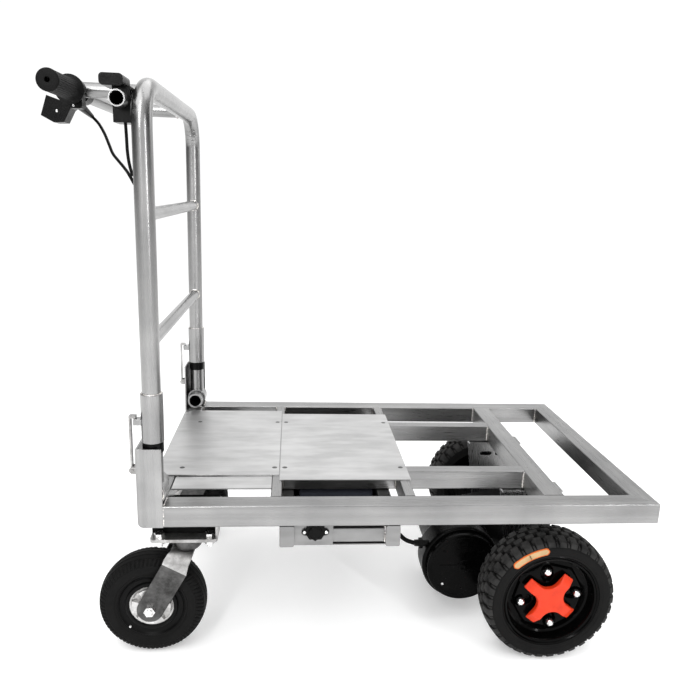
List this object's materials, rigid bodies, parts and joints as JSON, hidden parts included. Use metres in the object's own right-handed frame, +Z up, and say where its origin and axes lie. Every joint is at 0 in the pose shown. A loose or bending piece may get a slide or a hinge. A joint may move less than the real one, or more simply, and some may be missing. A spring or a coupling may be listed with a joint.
{
  "type": "electric platform cart",
  "caption": "Motorised flatbed hand cart: open square-tube deck with bolted cover plates, folding push handle with twist throttle, swivel casters at the handle end and a motor-driven rear axle.",
  "frame": {"origin": "on the floor, under the middle of the whole cart", "axes": "+X from the push handle to the loading end, +Y to the left of somebody who walks behind the handle, +Z up"},
  "size_m": [1.1133, 0.59, 1.0395],
  "materials": {
    "frame_steel": "satin ground tube",
    "plate_steel": "brushed sheet",
    "handle_steel": "satin ground tube",
    "galvanised": "zinc plated",
    "zinc_fasteners": "zinc plated",
    "black_steel": "semi-gloss black paint",
    "gearcase_paint": "satin dark paint",
    "motor_paint": "gloss black paint",
    "tyre_rubber": "matte moulded rubber",
    "rim_plastic": "moulded",
    "hub_metal": "die cast",
    "orange_plastic": "moulded",
    "grip_rubber": "moulded rubber",
    "control_plastic": "moulded",
    "cable_sheath": "extruded",
    "collar_plastic": "moulded",
    "battery_case": "shrink wrapped case"
  },
  "bodies": {
    "chassis": {"side_rail_left": "frame_steel", "side_rail_right": "frame_steel", "front_end_member": "frame_steel", "handle_end_member": "frame_steel", "wide_crossmember": "frame_steel", "narrow_crossmembers": "frame_steel", "inner_rails": "frame_steel", "handle_brackets": "frame_steel", "pivot_tubes": "frame_steel", "back_deck_plate": "plate_steel", "front_deck_plate": "plate_steel", "plate_screws": "zinc_fasteners", "battery_pack": "battery_case", "battery_tray": "plate_steel", "charge_socket": "control_plastic", "controller": "hub_metal", "caster_spacers": "black_steel", "caster_plates": "galvanised", "caster_bolts": "zinc_fasteners", "axle_brackets": "frame_steel", "axle_housing": "gearcase_paint", "motor_can": "motor_paint", "motor_end_cap": "motor_paint", "cable_gland": "control_plastic", "power_cable": "cable_sheath", "latch_bases": "galvanised"},
    "handle": {"handle_frame": "handle_steel", "handle_rungs": "handle_steel", "handle_feet": "handle_steel", "handle_arms": "handle_steel", "handlebar": "handle_steel", "left_grip": "grip_rubber", "throttle_housing": "control_plastic", "switch_box": "control_plastic", "meter_box": "control_plastic", "handle_cables": "cable_sheath", "foot_collars": "collar_plastic"},
    "throttle": {"throttle_grip": "grip_rubber"},
    "rocker": {"switch_rocker": "control_plastic"},
    "button": {"power_button": "control_plastic"},
    "latch_left": {"latch_lever_left": "galvanised"},
    "latch_right": {"latch_lever_right": "galvanised"},
    "fork_left": {"caster_fork_left": "galvanised", "caster_axle_left": "zinc_fasteners"},
    "caster_wheel_left": {"caster_rim_left": "rim_plastic", "caster_hub_left": "hub_metal", "caster_tyre_left": "tyre_rubber"},
    "rear_wheel_left": {"rear_rim_left": "black_steel", "rear_tyre_left": "tyre_rubber", "hub_cap_left": "orange_plastic", "rear_hub_left": "black_steel"},
    "fork_right": {"caster_fork_right": "galvanised", "caster_axle_right": "zinc_fasteners"},
    "caster_wheel_right": {"caster_rim_right": "rim_plastic", "caster_hub_right": "hub_metal", "caster_tyre_right": "tyre_rubber"},
    "rear_wheel_right": {"rear_rim_right": "black_steel", "rear_tyre_right": "tyre_rubber", "hub_cap_right": "orange_plastic", "rear_hub_right": "black_steel"}
  },
  "joints": [
    {"name": "caster_swivel_left", "type": "hinge", "parent": "chassis", "child": "fork_left", "pos_m": [-0.3143, 0.215, 0.24], "axis": [0, 0, 1], "continuous": true},
    {"name": "caster_roll_left", "type": "hinge", "parent": "fork_left", "child": "caster_wheel_left", "pos_m": [-0.3803, 0.215, 0.1], "axis": [0, 1, 0], "continuous": true},
    {"name": "rear_roll_left", "type": "hinge", "parent": "chassis", "child": "rear_wheel_left", "pos_m": [0.3717, 0.254, 0.128], "axis": [0, 1, 0], "continuous": true},
    {"name": "caster_swivel_right", "type": "hinge", "parent": "chassis", "child": "fork_right", "pos_m": [-0.3143, -0.215, 0.24], "axis": [0, 0, 1], "continuous": true},
    {"name": "caster_roll_right", "type": "hinge", "parent": "fork_right", "child": "caster_wheel_right", "pos_m": [-0.3803, -0.215, 0.1], "axis": [0, 1, 0], "continuous": true},
    {"name": "rear_roll_right", "type": "hinge", "parent": "chassis", "child": "rear_wheel_right", "pos_m": [0.3717, -0.254, 0.128], "axis": [0, 1, 0], "continuous": true},
    {"name": "handle_fold", "type": "hinge", "parent": "chassis", "child": "handle", "pos_m": [-0.3603, 0, 0.351], "axis": [0, 1, 0], "range_deg": [0, 90]},
    {"name": "latch_swing_left", "type": "hinge", "parent": "chassis", "child": "latch_left", "pos_m": [-0.3953, 0.271, 0.39], "axis": [0, 1, 0], "range_deg": [-90, 0]},
    {"name": "latch_swing_right", "type": "hinge", "parent": "chassis", "child": "latch_right", "pos_m": [-0.3953, -0.271, 0.39], "axis": [0, 1, 0], "range_deg": [-90, 0]},
    {"name": "throttle_twist", "type": "hinge", "parent": "handle", "child": "throttle", "pos_m": [-0.4913, -0.232, 1.016], "axis": [0, -1, 0], "range_deg": [0, 70], "stiffness_Nm_per_rad": 0.4},
    {"name": "switch_tilt", "type": "hinge", "parent": "handle", "child": "rocker", "pos_m": [-0.54795, -0.1215, 0.99355], "axis": [0, 1, 0], "range_deg": [-8, 8]},
    {"name": "power_press", "type": "slide", "parent": "handle", "child": "button", "axis": [1, 0, 0], "range_m": [0, 0.001], "stiffness_N_per_m": 500}
  ],
  "couplings": [
    {"joint": "latch_swing_left", "follows": "handle_fold", "ratio": -1},
    {"joint": "latch_swing_right", "follows": "handle_fold", "ratio": -1}
  ]
}
